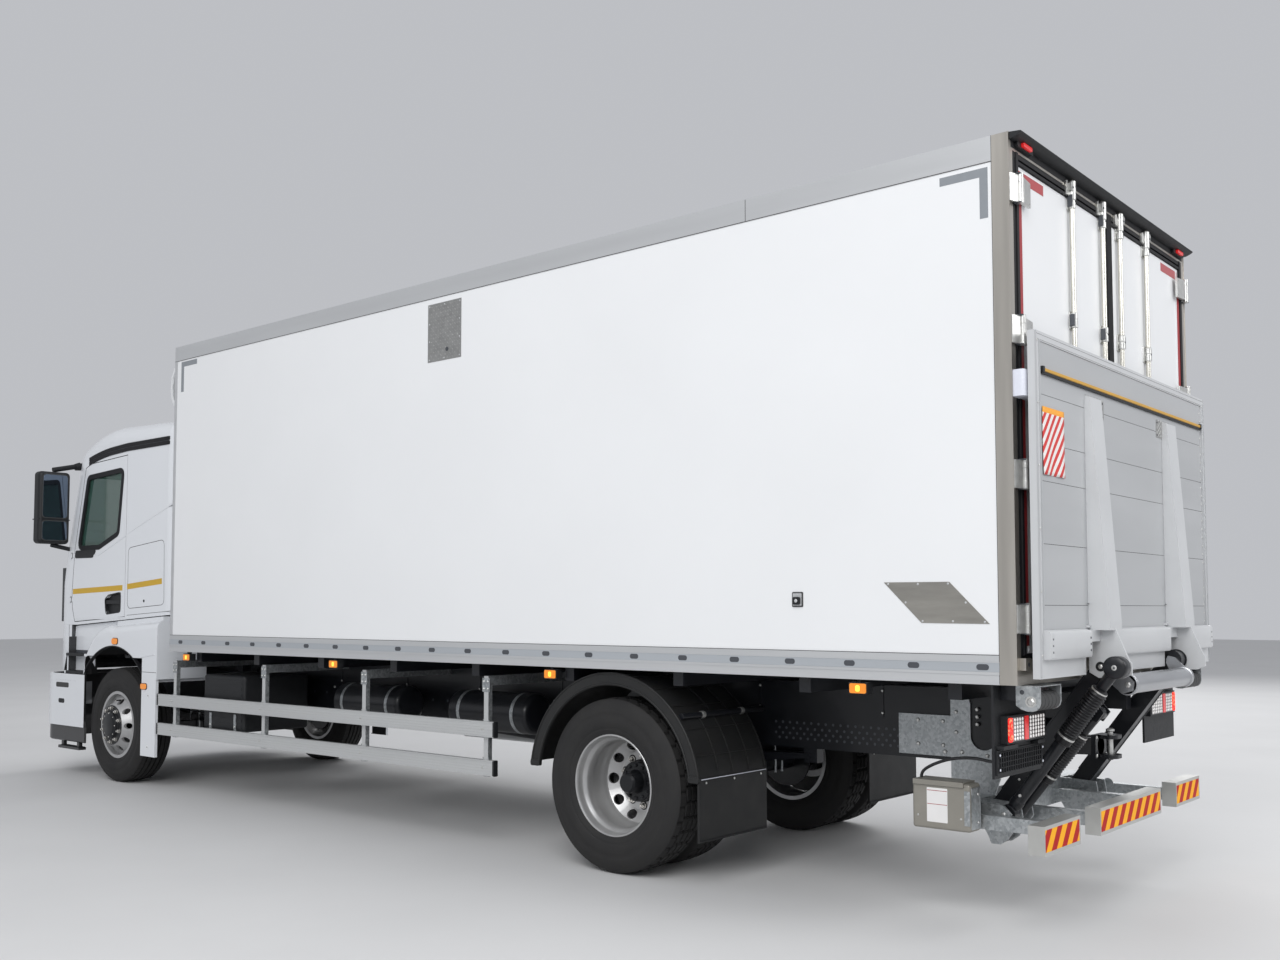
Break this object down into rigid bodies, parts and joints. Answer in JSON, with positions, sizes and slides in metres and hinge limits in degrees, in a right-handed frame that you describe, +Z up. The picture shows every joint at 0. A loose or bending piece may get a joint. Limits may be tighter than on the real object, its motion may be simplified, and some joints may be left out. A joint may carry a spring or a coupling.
{
  "type": "refrigerated box truck with a tail lift",
  "caption": "Two-axle refrigerated box truck with tilting cab, fridge unit, twin rear wheels, steered front wheels and a folding tail lift",
  "frame": {"origin": "on the road under the middle of the whole truck", "axes": "+X forward, +Y left, +Z up"},
  "size_m": [10.2199, 2.94, 3.767],
  "materials": {
    "chassis_black": "black chassis paint",
    "cast": "cast engine",
    "black_plastic": "black plastic",
    "galvanised": "galvanised steel",
    "white_paint": "white cab paint",
    "white_plastic": "white moulded plastic",
    "sandwich": "white skinned insulated panel",
    "aluminium": "anodised and plain aluminium",
    "stainless": "brushed stainless steel",
    "rubber": "black rubber",
    "bright_rod": "chromed rod",
    "lamp": "lamp lenses",
    "glass": "tinted safety glass",
    "fabric": "seat cloth",
    "tyre": "tyre rubber",
    "rim": "silver painted steel"
  },
  "bodies": {
    "chassis": {"chassis_frame": "chassis_black", "subframe": "chassis_black", "front_axle": "chassis_black", "rear_axle": "chassis_black", "leaf_springs": "chassis_black", "box_floor": "sandwich", "box_sides": "sandwich", "box_front_wall": "sandwich", "box_roof": "sandwich", "box_trims": "aluminium", "rear_portal": "stainless", "rear_doors": "sandwich", "rear_seals": "rubber", "door_hardware": "stainless", "fridge_unit": "white_plastic", "side_guards": "aluminium", "rear_mudguards": "black_plastic", "engine_block": "cast", "fuel_tank": "chassis_black", "battery_box": "black_plastic", "air_tanks": "chassis_black", "exhaust_box": "chassis_black", "side_lamps": "lamp", "lift_frame": "galvanised", "lamp_panels": "black_plastic", "tail_lamps": "lamp", "buffers": "galvanised", "underrun_bars": "aluminium", "control_box": "black_plastic", "control_cable": "rubber", "bumper": "white_plastic", "headlamps": "lamp", "front_fenders": "white_plastic"},
    "cab": {"cab_shell": "white_paint", "windscreen": "glass", "grille_panel": "white_plastic", "dashboard": "black_plastic", "seats": "fabric", "mirrors": "black_plastic"},
    "door_left": {"cab_door_left": "white_paint", "door_glass_left": "glass"},
    "door_right": {"cab_door_right": "white_paint", "door_glass_right": "glass"},
    "steer_left": {"knuckle_left": "chassis_black"},
    "steer_right": {"knuckle_right": "chassis_black"},
    "front_wheel_left": {"front_tyre_left": "tyre", "front_rim_left": "rim"},
    "front_wheel_right": {"front_tyre_right": "tyre", "front_rim_right": "rim"},
    "rear_wheels_left": {"rear_tyres_left": "tyre", "rear_rims_left": "rim"},
    "rear_wheels_right": {"rear_tyres_right": "tyre", "rear_rims_right": "rim"},
    "arms": {"lift_arms": "chassis_black"},
    "lift_head": {"hinge_pins": "galvanised"},
    "platform": {"platform": "aluminium"},
    "tilt_barrel": {"tilt_barrel": "rubber"},
    "tilt_rod": {"tilt_rod": "bright_rod"},
    "lift_barrel": {"lift_barrel": "rubber"},
    "lift_rod": {"lift_rod": "bright_rod"}
  },
  "joints": [
    {"name": "cab_tilt", "type": "hinge", "parent": "chassis", "child": "cab", "pos_m": [4.92, 0, 1.1], "axis": [0, 1, 0], "range_deg": [0, 60]},
    {"name": "door_left_open", "type": "hinge", "parent": "cab", "child": "door_left", "pos_m": [4.704, 1.15, 1.7], "axis": [0, 0, -1], "range_deg": [0, 70]},
    {"name": "door_right_open", "type": "hinge", "parent": "cab", "child": "door_right", "pos_m": [4.704, -1.15, 1.7], "axis": [0, 0, 1], "range_deg": [0, 70]},
    {"name": "steering_left", "type": "hinge", "parent": "chassis", "child": "steer_left", "pos_m": [3.669, 0.88, 0.512], "axis": [0, 0, 1], "range_deg": [-40, 40]},
    {"name": "steering_right", "type": "hinge", "parent": "chassis", "child": "steer_right", "pos_m": [3.669, -0.88, 0.512], "axis": [0, 0, 1], "range_deg": [-40, 40]},
    {"name": "front_roll_left", "type": "hinge", "parent": "steer_left", "child": "front_wheel_left", "pos_m": [3.669, 1.065, 0.512], "axis": [0, 1, 0], "continuous": true},
    {"name": "front_roll_right", "type": "hinge", "parent": "steer_right", "child": "front_wheel_right", "pos_m": [3.669, -1.065, 0.512], "axis": [0, 1, 0], "continuous": true},
    {"name": "rear_roll_left", "type": "hinge", "parent": "chassis", "child": "rear_wheels_left", "pos_m": [-2.315, 1.11, 0.512], "axis": [0, 1, 0], "continuous": true},
    {"name": "rear_roll_right", "type": "hinge", "parent": "chassis", "child": "rear_wheels_right", "pos_m": [-2.315, -1.11, 0.512], "axis": [0, 1, 0], "continuous": true},
    {"name": "lift_lower", "type": "hinge", "parent": "chassis", "child": "arms", "pos_m": [-4.4, 0, 0.51], "axis": [0, -1, 0], "range_deg": [0, 75]},
    {"name": "lift_level", "type": "hinge", "parent": "arms", "child": "lift_head", "pos_m": [-4.955, 0, 1.26], "axis": [0, -1, 0], "range_deg": [-78, 3]},
    {"name": "platform_unfold", "type": "hinge", "parent": "lift_head", "child": "platform", "pos_m": [-4.955, 0, 1.26], "axis": [0, -1, 0], "range_deg": [0, 94]},
    {"name": "tilt_cylinder_swing", "type": "hinge", "parent": "chassis", "child": "tilt_barrel", "pos_m": [-4.5, 0.66, 0.51], "axis": [0, -1, 0], "range_deg": [-3, 78]},
    {"name": "tilt_cylinder_stroke", "type": "slide", "parent": "tilt_barrel", "child": "tilt_rod", "axis": [-0.5948, 0, 0.8038], "range_m": [-0.16, 0.005]},
    {"name": "lift_cylinder_swing", "type": "hinge", "parent": "chassis", "child": "lift_barrel", "pos_m": [-4.4, 0.525, 0.37], "axis": [0, -1, 0], "range_deg": [-3, 78]},
    {"name": "lift_cylinder_stroke", "type": "slide", "parent": "lift_barrel", "child": "lift_rod", "axis": [-0.6156, 0, 0.7881], "range_m": [-0.19, 0.005]}
  ],
  "couplings": [
    {"joint": "steering_right", "follows": "steering_left", "ratio": 1},
    {"joint": "lift_level", "follows": "lift_lower", "ratio": -1},
    {"joint": "tilt_cylinder_swing", "follows": "lift_lower", "ratio": 1},
    {"joint": "lift_cylinder_swing", "follows": "lift_lower", "ratio": 0.9322},
    {"joint": "lift_cylinder_stroke", "follows": "lift_lower", "m_per_rad": -0.12127},
    {"joint": "tilt_cylinder_stroke", "follows": "platform_unfold", "m_per_rad": -0.08739}
  ]
}
